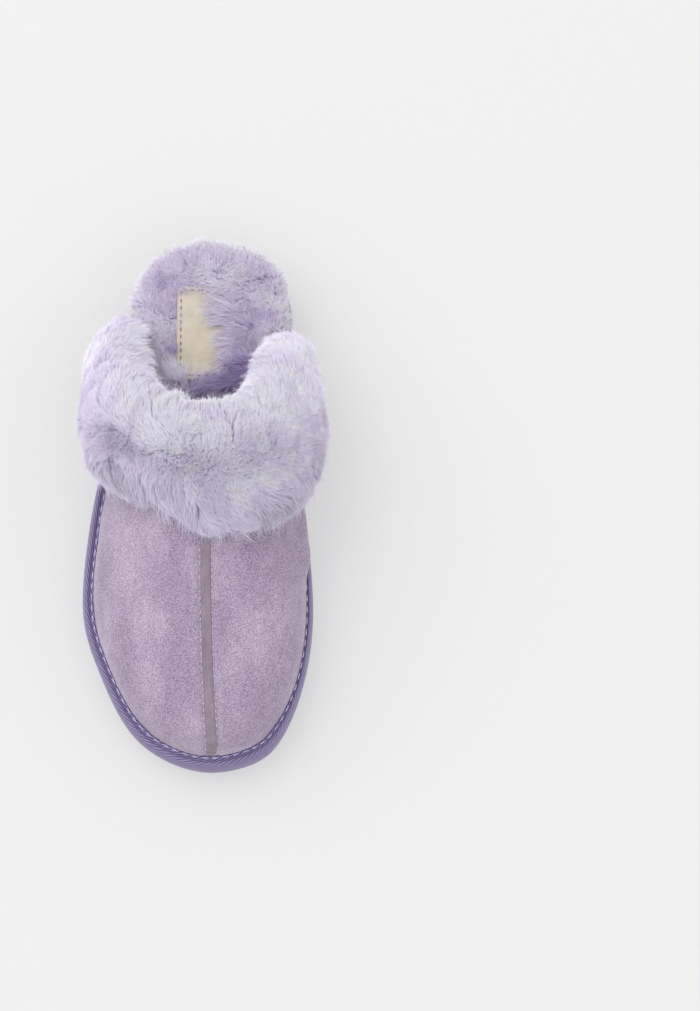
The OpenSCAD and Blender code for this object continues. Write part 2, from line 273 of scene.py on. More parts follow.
def turned_out(mesh):
    """Faces turned to point outwards on a closed mesh."""
    bm = bmesh.new()
    bm.from_mesh(mesh)
    bmesh.ops.recalc_face_normals(bm, faces=bm.faces)
    bm.to_mesh(mesh)
    bm.free()
    return mesh


def sheet_mesh(name, outer, inner, uv_name=None, uv=None):
    """A closed sheet between two grids of the same size."""
    rows, cols = outer.shape[:2]
    size = rows * cols
    k = np.arange(size).reshape(rows, cols)
    rim = np.concatenate([k[0, :], k[1:, -1], k[-1, -2::-1], k[-2:0:-1, 0]])
    nxt = np.roll(rim, -1)
    wall = np.stack([rim, nxt, nxt + size, rim + size], -1)
    points = np.concatenate([outer.reshape(-1, 3), inner.reshape(-1, 3)])
    both = None if uv is None else np.concatenate([uv.reshape(-1, 2)] * 2)
    faces = [np.concatenate([quads(rows, cols), quads(rows, cols, size)[:, ::-1], wall])]
    return turned_out(raw_mesh(name, points, faces, uv_name, both))


def loop_mesh(name, rings, uv_name, uv):
    """A ring-shaped solid: rings[i, j] with both directions closed."""
    faces = quads(*rings.shape[:2], loop_rows=True, loop_cols=True)
    return turned_out(raw_mesh(name, rings.reshape(-1, 3), faces, uv_name, uv.reshape(-1, 2)))


def capped_mesh(name, rings):
    """A solid through rings of points, closed at both ends by a fan."""
    n, m = rings.shape[:2]
    points = np.concatenate([rings.reshape(-1, 3), rings[0].mean(0)[None], rings[-1].mean(0)[None]])
    k = np.arange(m)
    fan = np.stack([k, (k + 1) % m, np.full(m, n * m)], -1)
    far = np.stack([(k + 1) % m + (n - 1) * m, k + (n - 1) * m, np.full(m, n * m + 1)], -1)
    return turned_out(raw_mesh(name, points, [quads(n, m, loop_cols=True), fan, far]))


def threads_mesh(name, paths, radius, sides, twist):
    """Two-ply threads along many paths at once: paths[thread, point, 3]. Ends are closed."""
    count, steps = paths.shape[:2]
    way = np.gradient(paths, axis=1)
    way /= np.linalg.norm(way, axis=-1, keepdims=True)
    level = unit(np.cross(way, np.array([0.0, 0.0, 1.0]) + 0 * way))
    up = np.cross(level, way)
    v = np.linspace(0, 1, steps)
    slim = radius * np.clip(np.sin(np.pi * v), 0.05, None) ** 0.35
    turn = np.arange(sides) / sides * 2 * np.pi
    ply = 1 + 0.16 * np.cos(2 * turn[None, :] + twist * v[:, None])
    ring = (slim[:, None] * ply)[None, :, :, None]
    around_path = np.cos(turn)[:, None] * level[:, :, None] + np.sin(turn)[:, None] * up[:, :, None]
    points = paths[:, :, None] + ring * around_path
    start = np.arange(count)[:, None, None] * steps * sides
    walls = (quads(steps, sides, loop_cols=True)[None] + start).reshape(-1, 4)
    lid = np.arange(sides)
    lids = (np.stack([lid[::-1], lid + (steps - 1) * sides])[None] + start).reshape(-1, sides)
    return turned_out(raw_mesh(name, points.reshape(-1, 3), [walls, lids]))


# ---- materials ----


def srgb(r, g, b):
    """Linear colour of an 8-bit sRGB one."""
    c = [v / 255 for v in (r, g, b)]
    return tuple(v / 12.92 if v <= 0.04045 else ((v + 0.055) / 1.055) ** 2.4 for v in c) + (1.0,)


class Look:
    """A node material with one Principled shader, written from its inputs back."""

    def __init__(self, name, roughness=0.8, sheen=0.0, specular=0.3):
        self.material = bpy.data.materials.new(name)
        self.material.use_nodes = True
        self.tree = self.material.node_tree
        self.shader = self.tree.nodes["Principled BSDF"]
        self.feed(self.shader, {"Roughness": roughness, "Specular IOR Level": specular})
        self.feed(self.shader, {"Sheen Weight": sheen, "Sheen Roughness": 0.5})

    def feed(self, node, inputs):
        """Sets a node's inputs, by name or number, to values or links them to outputs."""
        for key, value in inputs.items():
            if isinstance(value, bpy.types.NodeSocket):
                self.tree.links.new(value, node.inputs[key])
            else:
                node.inputs[key].default_value = value

    def node(self, kind, inputs, **settings):
        made = self.tree.nodes.new(kind)
        for key, value in settings.items():
            setattr(made, key, value)
        self.feed(made, inputs)
        return made

    def coords(self, stretch=(1, 1, 1)):
        """Object coordinates in millimetres, stretched."""
        spot = self.node("ShaderNodeTexCoord", {}).outputs["Object"]
        scale = [s / MM for s in stretch]
        return self.node("ShaderNodeMapping", {"Vector": spot, "Scale": scale}).outputs["Vector"]

    def uv(self, name):
        read = self.node("ShaderNodeUVMap", {}, uv_map=name).outputs["UV"]
        split = self.node("ShaderNodeSeparateXYZ", {"Vector": read}).outputs
        return split["X"], split["Y"]

    def noise(self, size, detail=3.0, rough=0.6, stretch=(1, 1, 1), warp=0.0):
        """Noise whose lumps are about size millimetres across."""
        inputs = {"Vector": self.coords(stretch), "Scale": 1 / size, "Detail": detail}
        inputs.update({"Roughness": rough, "Distortion": warp})
        return self.node("ShaderNodeTexNoise", inputs).outputs["Fac"]

    def math(self, op, *values):
        return self.node("ShaderNodeMath", dict(enumerate(values)), operation=op).outputs[0]

    def ramp(self, fac, stops):
        made = self.node("ShaderNodeValToRGB", {"Fac": fac})
        points = made.color_ramp.elements
        while len(points) < len(stops):
            points.new(0.5)
        for point, (at, colour) in zip(points, stops):
            point.position, point.color = at, colour
        return made.outputs["Color"]

    def tones(self, fac, dark, light, low=0.3, high=0.7):
        """A ramp between two 8-bit sRGB colours."""
        return self.ramp(fac, [(low, srgb(*dark)), (high, srgb(*light))])

    def blend(self, fac, a, b, how="SOFT_LIGHT"):
        colours = {0: fac, 6: a, 7: b}
        return self.node("ShaderNodeMix", colours, data_type="RGBA", blend_type=how).outputs[2]

    def colour(self, socket):
        self.feed(self.shader, {"Base Color": socket})

    def relief(self, height, strength, distance_mm):
        """A bump, on top of those before it."""
        inputs = {"Height": height, "Strength": strength, "Distance": distance_mm * MM}
        before = self.shader.inputs["Normal"].links
        if before:
            inputs["Normal"] = before[0].from_socket
        self.feed(self.shader, {"Normal": self.node("ShaderNodeBump", inputs).outputs["Normal"]})


def suede_look():
    look = Look("suede", roughness=0.95, sheen=0.35, specular=0.12)
    patches = look.ramp(
        look.noise(20, detail=3, rough=0.5, stretch=(1.0, 0.6, 1.0)),
        [(0.30, srgb(155, 143, 159)), (0.5, srgb(167, 155, 170)), (0.7, srgb(180, 170, 182))],
    )
    strokes = look.noise(3.2, detail=3, rough=0.6, stretch=(1.0, 0.45, 1.0), warp=0.4)
    tinted = look.blend(0.2, patches, look.tones(strokes, (108, 98, 116), (214, 206, 222)))
    nap = look.noise(0.65, detail=2, rough=0.85)
    look.colour(look.blend(0.85, tinted, look.tones(nap, (68, 61, 76), (216, 210, 222), 0.36, 0.64)))
    look.relief(nap, 0.5, 0.25)
    look.relief(strokes, 0.3, 0.5)
    return look.material


def wool_look(name, root, middle, tip, *tints):
    """Strand colour from root to tip, tinted by lock. The darker roots are partly the wool's own deeper
    lilac and partly painted shade of the strands above them. Both come from the strands' own UVs.
    """
    look = Look(name, roughness=0.9, sheen=0.3, specular=0.1)
    u, v = look.uv("OFBake")
    # darker roots: partly the wool's own colour, partly painted shade
    length = look.ramp(v, [(0.0, srgb(*root)), (0.45, srgb(*middle)), (1.0, srgb(*tip))])
    tint = look.ramp(u, [(0.0, srgb(255, 255, 255))] + [(at, srgb(*colour)) for at, colour in tints])
    look.colour(look.blend(1.0, length, tint, "MULTIPLY"))
    return look.material


def core_look(name, low, high, size):
    """The dense wool under the strands."""
    look = Look(name, roughness=1.0, sheen=0.3, specular=0.05)
    curls = look.noise(size, detail=4, rough=0.65, warp=1.2)
    look.colour(look.tones(curls, low, high))
    look.relief(curls, 0.8, 1.2)
    return look.material


def twill_look():
    """Ribs come with the mesh. The colour follows them, with painted shade in the grooves and painted light
    on the rib tops, and yarn shows in the relief.
    """
    look = Look("twill", roughness=0.82, sheen=0.2, specular=0.2)
    rib_place = look.uv("band")[1]
    wave = look.math("SINE", look.math("MULTIPLY", rib_place, 2 * math.pi))
    rib = look.math("MULTIPLY_ADD", wave, 0.5, 0.5)
    # painted shade: darker in the grooves between the ribs, lighter on their tops
    painted_rib_shade = [(0.0, srgb(106, 95, 135)), (0.45, srgb(135, 124, 160)), (1.0, srgb(162, 152, 184))]
    wear = look.tones(look.noise(6, detail=4), (112, 112, 112), (150, 150, 150), 0.3, 0.75)
    look.colour(look.blend(0.6, look.ramp(rib, painted_rib_shade), wear))
    look.relief(look.noise(0.35, detail=2), 0.35, 0.12)
    return look.material


def tape_look():
    look = Look("tape", roughness=0.6, sheen=0.1, specular=0.35)
    inputs = {"Vector": look.coords(), "Scale": 0.9, "Distortion": 0.6}
    weave = look.node("ShaderNodeTexWave", inputs, wave_type="BANDS", bands_direction="Y").outputs["Fac"]
    tone = look.tones(look.noise(4, detail=4, stretch=(1, 0.4, 1)), (124, 112, 125), (148, 136, 148))
    yarn = look.tones(weave, (96, 90, 98), (160, 156, 164), 0.2, 0.8)
    look.colour(look.blend(0.25, tone, yarn))
    look.relief(weave, 0.4, 0.12)
    return look.material


def thread_look(name, dark, light):
    look = Look(name, roughness=0.55, sheen=0.2, specular=0.35)
    look.colour(look.tones(look.noise(1.2, detail=2), dark, light))
    look.relief(look.noise(0.25, detail=1, stretch=(1, 2, 1)), 0.5, 0.08)
    return look.material


def label_look():
    look = Look("label", roughness=0.55, sheen=0.05, specular=0.4)
    base = look.tones(look.noise(9, detail=4), (187, 178, 160), (210, 202, 187))
    grain = look.noise(0.6, detail=3, rough=0.7)
    look.colour(look.blend(0.25, base, look.tones(grain, (100, 96, 88), (170, 168, 160))))
    look.relief(grain, 0.35, 0.15)
    return look.material


def rubber_look():
    look = Look("outsole_rubber", roughness=0.72, specular=0.4)
    speck = look.noise(1.1, detail=3)
    tone = look.tones(look.noise(22, detail=3), (112, 101, 142), (126, 115, 158))
    look.colour(look.blend(0.3, tone, look.tones(speck, (104, 104, 104), (150, 150, 150), 0.35, 0.7)))
    shine = look.ramp(speck, [(0.3, (0.62, 0.62, 0.62, 1.0)), (0.7, (0.82, 0.82, 0.82, 1.0))])
    look.feed(look.shader, {"Roughness": shine})
    look.relief(speck, 0.3, 0.12)
    return look.material


def plain_fabric_look(name, dark, light, size):
    """Hidden cloth, foam, board and hide."""
    look = Look(name, roughness=0.9, specular=0.1)
    grain = look.noise(size, detail=3)
    look.colour(look.tones(grain, dark, light))
    look.relief(grain, 0.4, 0.2)
    return look.material


SUEDE = suede_look()
TWILL = twill_look()
TAPE = tape_look()
THREAD = thread_look("thread", (176, 160, 208), (206, 194, 228))
DARK_THREAD = thread_look("dark_thread", (96, 84, 120), (128, 116, 150))
TAPE_THREAD = thread_look("tape_thread", (164, 149, 182), (206, 194, 220))
LABEL_THREAD = thread_look("label_thread", (104, 88, 88), (146, 130, 124))
LABEL = label_look()
RUBBER = rubber_look()
WOOL = wool_look(
    "cuff_wool", (216, 211, 236), (238, 236, 250), (250, 249, 255),
    (0.4, (243, 235, 250)), (1.0, (214, 207, 220)),
)
# the last tint, at tone 1, is painted shade, reached where the vamp shades the footbed
FLEECE = wool_look(
    "fleece", (206, 195, 228), (236, 231, 248), (251, 250, 255),
    (0.7, (228, 214, 238)), (1.0, (176, 160, 200)),
)
WOOL_CORE = core_look("wool_core", (226, 220, 240), (243, 240, 250), 2.2)
FLEECE_CORE = core_look("fleece_core", (204, 190, 222), (230, 220, 240), 1.8)


# ---- sole ----


def ring_points(side, t, inset, z):
    """Points round the sole, at one or more insets and heights for each place."""
    if np.ndim(inset) > 1:
        side, t = side[:, None], t[:, None]
    return at_height(edge(side, t, inset), z)


def spline(points, t):
    """Places t, counted in rows, of a smooth curve through the rows of points."""
    p = np.concatenate([points[:1] * 2 - points[1:2], points, points[-1:] * 2 - points[-2:-1]])
    i = np.minimum(t.astype(int), len(points) - 2)
    return catmull(*(p[i + o] for o in range(4)), (t - i).reshape((-1,) + (1,) * (p.ndim - 1)))


def tread_pockets():
    """Stadium-shaped pockets in rows, as in the CAD, with a little draft."""
    pocket, wide, land, margin, narrowest, corners = 11.0, 4.0, 4.0, 8.0, 24.0, 24
    rows = math.floor(SOLE_LENGTH / TREAD_PITCH) - 3
    fine = np.linspace(0.6, 9.4, 800)
    y_inner = outline(MEDIAL, fine)[:, 1]
    turn = np.linspace(0, 2 * np.pi, corners, endpoint=False)
    shape = np.stack([np.cos(turn), np.sin(turn)], -1) * wide / 2
    shape[:, 0] += np.where(np.cos(turn) >= 0, 1, -1) * (pocket - wide) / 2
    points = []
    for r in range(rows + 1):
        y = (r - rows / 2) * TREAD_PITCH
        t = np.interp(y, y_inner, fine)
        left, right = edge(LATERAL, t, margin)[0], edge(MEDIAL, t, margin)[0]
        count = math.floor((right - left) / (pocket + land)) if right - left > narrowest else 0
        for k in range(count):
            x = (left + right) / 2 + (k - (count - 1) / 2) * (pocket + land)
            for z, draft in ((-1.0, 1.08), (TREAD_DEPTH, 0.9)):
                points.append(at_height(shape * draft + (x, y), z))
    start = np.arange(0, len(points), 2)[:, None] * corners
    walls = (quads(2, corners, loop_cols=True) + start[..., None]).reshape(-1, 4)
    ring = np.arange(corners)
    lids = np.concatenate([start + ring[::-1], start + corners + ring])
    return turned_out(raw_mesh("pockets", np.concatenate(points), [walls, lids]))


def build_outsole():
    """A rubber sole with a groove round its wall, and pockets cut into its tread."""
    side, t, _ = around(420)
    top = OUTSOLE_H - GAP / 2
    # the wall's inset and height, from the top's inside to the tread's
    wall = np.array(
        [(4.0, top), (1.1, top), (0.65, 5.6), (0.55, 5.0), (0.75, 4.7), (0.75, 4.3), (0.5, 4.0),
         (0.5, 2.2), (0.75, 1.2), (1.3, 0.4), (2.2, 0.0), (4.0, 0.0)]
    )
    curve = spline(wall, np.linspace(0, len(wall) - 1, 34))
    inset = np.broadcast_to(curve[:, 0], (len(t), len(curve)))
    rings = ring_points(side, t, inset, curve[:, 1].clip(0, top)).transpose(1, 0, 2)
    mesh = capped_mesh("outsole_tread", rings)
    piece = place("outsole_tread", mesh, RUBBER, ["outsole"])
    cutter = linked("pockets", tread_pockets())
    cut = piece.modifiers.new("pockets", "BOOLEAN")
    cut.operation, cut.solver, cut.object = "DIFFERENCE", "MANIFOLD", cutter
    bpy.context.view_layer.update()
    done = bpy.data.meshes.new_from_object(piece.evaluated_get(bpy.context.evaluated_depsgraph_get()))
    piece.modifiers.clear()
    piece.data = done
    done.shade_smooth()
    done.set_sharp_from_angle(angle=math.radians(40))
    bpy.data.objects.remove(cutter)


def build_wrap():
    """The twill band as a closed loop, its ribs raised, its roll puckered at each stitch."""
    side, t, length = around(680)
    s = seam(side, t)[:, None]
    foot, top = OUTSOLE_H + GAP, WRAP_TOP
    high = top - foot

    def section(profile):
        """Insets and heights all round, from an inset, a share of the seam's inset, and a height."""
        near, share, z = np.array(profile).T
        inset = near + share * s
        return np.stack([inset, np.broadcast_to(z, inset.shape)], -1)

    knots = section([  # from foot to seam
        (6, 0, foot), (2, 0, foot), (0.75, 0, foot + 0.5), (0.15, 0, foot + 0.18 * high),
        (0, 0, foot + 0.4 * high), (0, 0.03, foot + 0.65 * high), (0, 0.12, foot + 0.85 * high),
        (0, 0.25, top + 0.1), (0, 0.4, top + 0.75), (0, 0.53, top + 0.65), (0, 0.64, top + 0.05),
        (0, 0.74, top - 0.25), (0, 0.86, top - 0.15), (0.4, 1, top - 0.1), (4, 1, top - 0.1),
    ]).transpose(1, 0, 2)
    # dense only where it shows
    places = np.concatenate([np.linspace(0, 2.8, 9), np.linspace(3, 11.5, 124), np.linspace(11.8, 14, 8)])
    curve = spline(knots, places).transpose(1, 0, 2)
    step = np.linalg.norm(np.diff(curve, axis=1), axis=-1)
    down = np.concatenate([np.zeros((len(t), 1)), np.cumsum(step, 1)], 1)
    far = (np.arange(len(t)) / len(t))[:, None]
    rib, slope = 1.1, math.radians(17)
    turns = round(length * math.sin(slope) / rib)
    phase = far * turns + down.mean(0)[None, :] * math.cos(slope) / rib
    rib_height, pucker = 0.08, 0.16
    stitches = round(length / SEAM_PITCH)
    roll = bump(curve[..., 0] / s, 0.42, 0.3)
    raised = rib_height * np.sin(2 * np.pi * phase) + roll * pucker * np.cos(2 * np.pi * far * stitches)
    slant = np.gradient(curve, axis=1)
    normal = unit(np.stack([-slant[..., 1], slant[..., 0]], -1))
    showing = smooth((curve[..., 1] - foot) / 0.5) * smooth((s - curve[..., 0] + 0.8) / 0.6)
    curve = curve + normal * (raised * showing)[..., None]
    thick = WRAP_T + GAP
    low, high = foot + 1, top - WRAP_T
    back = section([(4, 1, high), (thick, 0, high), (thick, 0, low), (6, 0, low)])
    full = np.concatenate([curve, back], 1)
    rings = ring_points(side, t, full[..., 0], full[..., 1])
    v = np.concatenate([phase, 0 * back[..., 0]], 1)
    uv = np.stack([np.broadcast_to(far, v.shape), v], -1)
    place("platform_band", loop_mesh("platform_band", rings, "band", uv), TWILL, ["platform_wrap"])


def seam_stitches(name, first, final, material, node):
    """Stitches on the twill from one station to another, each dipping in at its ends."""
    fine, steps, half, beside = 4000, 9, 0.36, 0.9
    side, t, length = around(fine)
    count = round(length / SEAM_PITCH)
    v = np.linspace(-half, half, steps)
    middle = (np.arange(count) + 0.5) / count
    k = np.round(((middle[:, None] + v[None] / count) % 1.0) * fine).astype(int) % fine
    centre = t[k[:, steps // 2]]
    k = k[(centre >= first) & (centre <= final)]
    z = WRAP_TOP + 0.12 - 0.75 * (np.abs(v) / half) ** 5
    paths = at_height(edge(side[k], t[k], seam(side[k], t[k]) - beside), z)
    place(name, threads_mesh(name, paths, 0.42, sides=8, twist=9.0), material, [node])


# ---- vamp ----


def crown_distance(t, b):
    """Distance from the crown line across the vamp, in millimetres."""
    wide = np.abs(upper(t, np.sign(b) + (b == 0), 0.0)[..., 0] - upper(t, 0.0, 0.0)[..., 0])
    return wide * np.sin(np.pi / 2 * np.abs(b)) ** ROUNDNESS


def vamp_relief(t, b):
    """Depth of the suede's face: a soft ridge and a stitch groove by the tape, a tucked edge.

    Near the cuff, the inner side hangs over the band.
    """
    x = crown_distance(t, b)
    p = upper(t, b, 0.0)
    ridge = -0.55 * bump(x, 5.4, 1.7) + 0.5 * bump(x, 2.9, 0.6) + 0.25 * (1 - smooth((x - 2.0) / 0.8))
    tuck = 0.9 * np.exp(-(p[..., 2] - BASE) / 0.9) - 0.35 * bump(p[..., 2] - BASE, 3.0, 2.0)
    soft = -0.55 * noise(p, 26, 3) - 0.22 * noise(p, 9, 4) - 0.06 * noise(p, 3, 5)
    slack = 4.2 * bump(b, 0.88, 0.09) * smooth((t - 4.25) / 0.5) * (1 - smooth((t - 5.5) / 0.6))
    return (ridge + soft * smooth(x / 6)) * smooth(t / 0.8) + tuck - slack


def build_vamp(side, name, node):
    """Half of the vamp, from just beside the centre seam and just behind the toe's tip."""
    rows, cols, closer = 260, 84, 1.25
    r = np.linspace(0, 1, rows)[:, None] ** closer
    b = side * mix(0.0035, 1.0, np.linspace(0, 1, cols) ** closer)[None, :]
    t = mix(0.015, topline(b), r)
    b = np.broadcast_to(b, t.shape)
    depth = vamp_relief(t, b)
    outer, inner = upper(t, b, depth), upper(t, b, np.maximum(depth, 0) + SUEDE_T)
    place(name, sheet_mesh(name, outer, inner), SUEDE, [node])


def tape_b(t, side, off):
    """The b at which the vamp lies that far from its crown line."""
    wide = np.abs(upper(t, side + 0 * t, 0.0)[..., 0] - upper(t, 0 * t, 0.0)[..., 0])
    return side * np.arcsin(np.minimum(0.95, off / wide) ** (1 / ROUNDNESS)) / (np.pi / 2)


TAPE_END = THROAT_STATION - (CUFF_W - 4) / STATION_MM


def build_tape():
    t, v = np.meshgrid(np.linspace(0.1, TAPE_END, 420), np.linspace(-1, 1, 15), indexing="ij")
    b = tape_b(t, np.where(v < 0, LATERAL, MEDIAL), np.abs(v) * TAPE_W / 2)
    arch = 0.32 * (1 - np.abs(v) ** 6) + 0.03 * noise(upper(t, b, 0.0), 5, 8)
    outer, inner = upper(t, b, 0.05 - arch), upper(t, b, 0.42)
    mesh = sheet_mesh("tape_band", outer, inner, "band", np.stack([v, t], -1))
    place("tape_band", mesh, TAPE, ["centre_tape"])


def tape_stitches(side, name, node):
    """A row of stitches beside the tape, each dipping in at its ends."""
    half, beside = 0.3, 0.5
    first, final = outline(MEDIAL, 0.45)[1], outline(MEDIAL, TAPE_END)[1]
    count = round((final - first) / TAPE_PITCH)
    fine = np.linspace(0.3, TAPE_END, 2000)
    y = upper(fine, 0.0, 0.0)[:, 1]
    v = np.linspace(-half, half, 7)
    spot = (np.arange(count)[:, None] + 0.5 + v[None]) / count
    t = np.interp(mix(max(first, y[0]), y[-1], spot), y, fine)
    row = tape_b(t, side, TAPE_W / 2 + beside)
    paths = upper(t, row, vamp_relief(t, row) - 0.12 + 0.9 * (np.abs(v) / half) ** 4)
    place(name, threads_mesh(name, paths, 0.33, sides=7, twist=7.0), TAPE_THREAD, [node])


# ---- wool ----


class Grid:
    """A surface as a grid of points that strands can be rooted on. up is its middle normal's sign."""

    def __init__(self, points, up):
        self.points = points
        self.along_j = np.gradient(points, axis=1)
        cross = np.cross(np.gradient(points, axis=0), self.along_j)
        self.area = np.linalg.norm(cross, axis=-1)
        self.normal = cross / (self.area[..., None] + 1e-9)
        rows, cols = self.area.shape
        if self.normal[rows // 2, cols // 2, 2] * up < 0:
            self.normal = -self.normal

    def sample(self, i, j, values):
        """Values of the grid's points, between the points."""
        i0, j0 = np.floor(i).astype(int), np.floor(j).astype(int)
        i0, j0 = np.minimum(i0, values.shape[0] - 2), np.minimum(j0, values.shape[1] - 2)
        fi, fj = i - i0, j - j0
        if values.ndim == 3:
            fi, fj = fi[:, None], fj[:, None]
        top = mix(values[i0, j0], values[i0, j0 + 1], fj)
        return mix(top, mix(values[i0 + 1, j0], values[i0 + 1, j0 + 1], fj), fi)

    def scatter(self, count, rng, weight=1.0):
        """Grid places of count random points, spread by area times weight."""
        share = (self.area * weight)[:-1, :-1].ravel()
        cell = rng.choice(len(share), size=count, p=share / share.sum())
        cols = self.points.shape[1] - 1
        return cell // cols + rng.random(count), cell % cols + rng.random(count)


def spread(rng, places, half):
    """A random factor for each place, 1 give or take half."""
    return 1 - half + 2 * half * rng.random(len(places))


def clumps(roots, centres):
    """The nearest centre of each root."""
    tree = KDTree(len(centres))
    for k, c in enumerate(centres):
        tree.insert(c, k)
    tree.balance()
    return np.array([tree.find(r)[1] for r in roots])


def strand_mesh(name, rng, roots, normal, flow, pull, length, lean, width, gather, wave, tone):
    """Tapered three-sided strands, closed at both ends.

    Each rises along normal and bends over towards flow by its lean. pull is a vector that its tip
    moves by, gather how much, and wave the size of its curl. tone picks the colour of its lock.
    """
    count, rings = len(roots), 3
    v = np.linspace(0, 1, rings + 1)[None, :, None]
    side = unit(np.cross(normal, flow))
    lean, length = lean[:, None, None], length[:, None, None]
    n, f, s = normal[:, None], flow[:, None], side[:, None]
    up = v * (1 - 0.5 * lean * v) - 0.35 * lean * v * v
    path = roots[:, None] + length * (n * up + f * (lean * v * (0.35 + 0.65 * v)))
    path = path + pull[:, None] * gather[:, None, None] * v**1.4
    phase = rng.random((count, 1, 1)) * 2 * np.pi
    spin = wave[:, None, None] * v**0.8
    path = path + spin * (s * np.sin(phase + 6.5 * v) + f * np.cos(phase + 5.2 * v))
    way = unit(np.gradient(path, axis=1))
    across = unit(np.cross(way, n + 0.01))
    over = np.cross(across, way)
    thin = (1 - v[:, :-1] ** 1.8 * 0.72) * width[:, None, None] / 2
    points = np.empty((count, rings * 3 + 1, 3))
    for k, angle in enumerate((np.pi / 2, np.pi * 7 / 6, np.pi * 11 / 6)):
        ring = path[:, :-1] + thin * (math.cos(angle) * across[:, :-1] + math.sin(angle) * over[:, :-1])
        points[:, k:-1:3] = ring
    points[:, -1] = path[:, -1]
    start = np.arange(count)[:, None, None] * (rings * 3 + 1)
    walls = (quads(rings, 3, loop_cols=True)[None] + start).reshape(-1, 4)
    top = np.arange(3) + (rings - 1) * 3
    tips = (np.stack([top, np.full(3, rings * 3), np.roll(top, -1)], -1)[None] + start).reshape(-1, 3)
    feet = (np.arange(3)[None, None] + start).reshape(-1, 3)
    # a strand is a narrow strip of the map: its lock's tone across, root to tip along
    u = np.clip(tone, 0.02, 0.98)[:, None] + np.array([[-0.012, 0.0, 0.012] * rings + [0.0]])
    height = np.repeat(v[0, :-1, 0], 3).tolist() + [1.0]
    uv = np.stack([u, np.broadcast_to(np.clip(height, 0.01, 0.99), u.shape)], -1).reshape(-1, 2)
    mesh = raw_mesh(name, points.reshape(-1, 3), [walls, tips, feet], "OFBake", uv)
    # shading follows the surface below more than the strand, as light does in dense wool
    round_off = unit(points - np.concatenate([np.repeat(path[:, :-1], 3, axis=1), path[:, -2:-1]], 1))
    facing = unit(0.75 * normal[:, None] + 0.45 * round_off + 0.5 * np.array([0.0, 0.0, 1.0]))
    mesh.normals_split_custom_set_from_vertices(facing.reshape(-1, 3).astype(np.float32))
    return mesh


def grow(name, grid, count, rng, material, parts, flow_of, shape, weight, lock_mm, stray=0.28):
    """Strands on a grid in several pieces. flow_of and shape turn grid places into their form.

    Each strand belongs to a lock about lock_mm wide and to a tuft about tuft_mm wide.
    """
    tuft_mm = 2.6
    i, j = grid.scatter(count, rng, weight)
    roots, normal = grid.sample(i, j, grid.points), unit(grid.sample(i, j, grid.normal))
    area = grid.area.sum()
    locks = grid.sample(*grid.scatter(max(12, int(area / lock_mm**2)), rng), grid.points)
    tufts = grid.sample(*grid.scatter(max(40, int(area / tuft_mm**2)), rng), grid.points)
    lock, tuft = clumps(roots, locks), clumps(roots, tufts)
    flow = unit(flow_of(i, j, roots, normal))
    flow = flow + stray * rng.normal(size=locks.shape)[lock]
    flow = flow + 0.65 * stray * rng.normal(size=tufts.shape)[tuft]
    flow = unit(flow + 0.14 * rng.normal(size=flow.shape))
    flow = unit(flow - normal * (flow * normal).sum(-1, keepdims=True))
    length, *form, tone = shape(i, j, roots, rng)
    length = length * (1 + 0.16 * rng.normal(size=len(locks)))[lock].clip(0.7, 1.35)
    tone = tone + 0.13 * rng.normal(size=len(locks))[lock] + 0.07 * rng.normal(size=count)
    pull = 0.55 * (tufts[tuft] - roots) + 0.45 * (locks[lock] - roots)
    hair = (roots, normal, flow, pull, length, *form, tone)
    for k, chosen in enumerate(np.array_split(np.argsort(i, kind="stable"), parts)):
        piece = f"{name}_{k + 1}"
        place(piece, strand_mesh(piece, rng, *(share[chosen] for share in hair)), material)


# how wide the cuff's strip is across the foot: place b, share of the cuff's width
STRIP_AT = [-1, -0.6, -0.3, -0.15, 0, 0.2, 0.45, 0.7, 1]
STRIP_SHARE = [0.90, 0.83, 0.73, 0.78, 0.89, 1.02, 1.14, 1.23, 1.21]
# how far its wool reaches past the strip's front edge: place b, millimetres
OVER_AT = [-1, -0.6, -0.45, -0.3, -0.15, 0, 0.15, 0.3, 0.6, 1]
OVER = [1, 4, 6, 4, 4.5, 6, 5, 3, 0, 1]
# how strong the locks' tint is at its front edge and on its crest, at place b
FRONT_AT, FRONT_TONE = [-0.8, -0.35, 0, 0.3, 0.8], [-0.2, 0.55, 0.5, 0.65, 1.0]
CREST_AT, CREST_TONE = [-0.85, -0.55, -0.3, 0, 0.3, 0.6, 0.85], [0.05, 0.3, 0.36, 0.25, 0.2, 0.42, 0.3]


def strip_w(b):
    return CUFF_W * np.interp(b, STRIP_AT, STRIP_SHARE)


def cuff_core(b, a, shrink):
    """The cuff's wool at b: a goes from 0 at its front edge over the top to 1 deep in the throat."""
    ends = smooth((1 - np.abs(b)) / 0.25)
    behind = mix(1.8, 9.0, ends) - 0.45 * shrink + 4.0 * bump(b, 0.6, 0.16)
    over = np.interp(b, OVER_AT, OVER)
    round_end = 1 - 0.55 * (1 - smooth((CUFF_END - np.abs(b)) / 0.1))
    tall = WOOL_H * mix(0.85, 1.0, ends) * mix(1.0, np.where(b < 0, 1.12, 1.04), smooth(np.abs(b))) - shrink
    tall = tall * round_end
    foot = 4 * GAP + HIDE_T
    half, middle = (strip_w(b) + over + behind) / 2, (strip_w(b) + over - behind) / 2
    turn = np.pi * np.clip(a / 0.8, 0, 1)
    inside = smooth((0.72 - np.abs(b)) / 0.2)
    deep = np.clip((a - 0.8) / 0.2, 0, 1)
    q = middle + half * np.cos(turn) + behind * 0.75 * deep**1.5
    h = foot + tall * np.sin(turn).clip(0) ** 0.72 - 8.5 * inside * deep
    return q, h


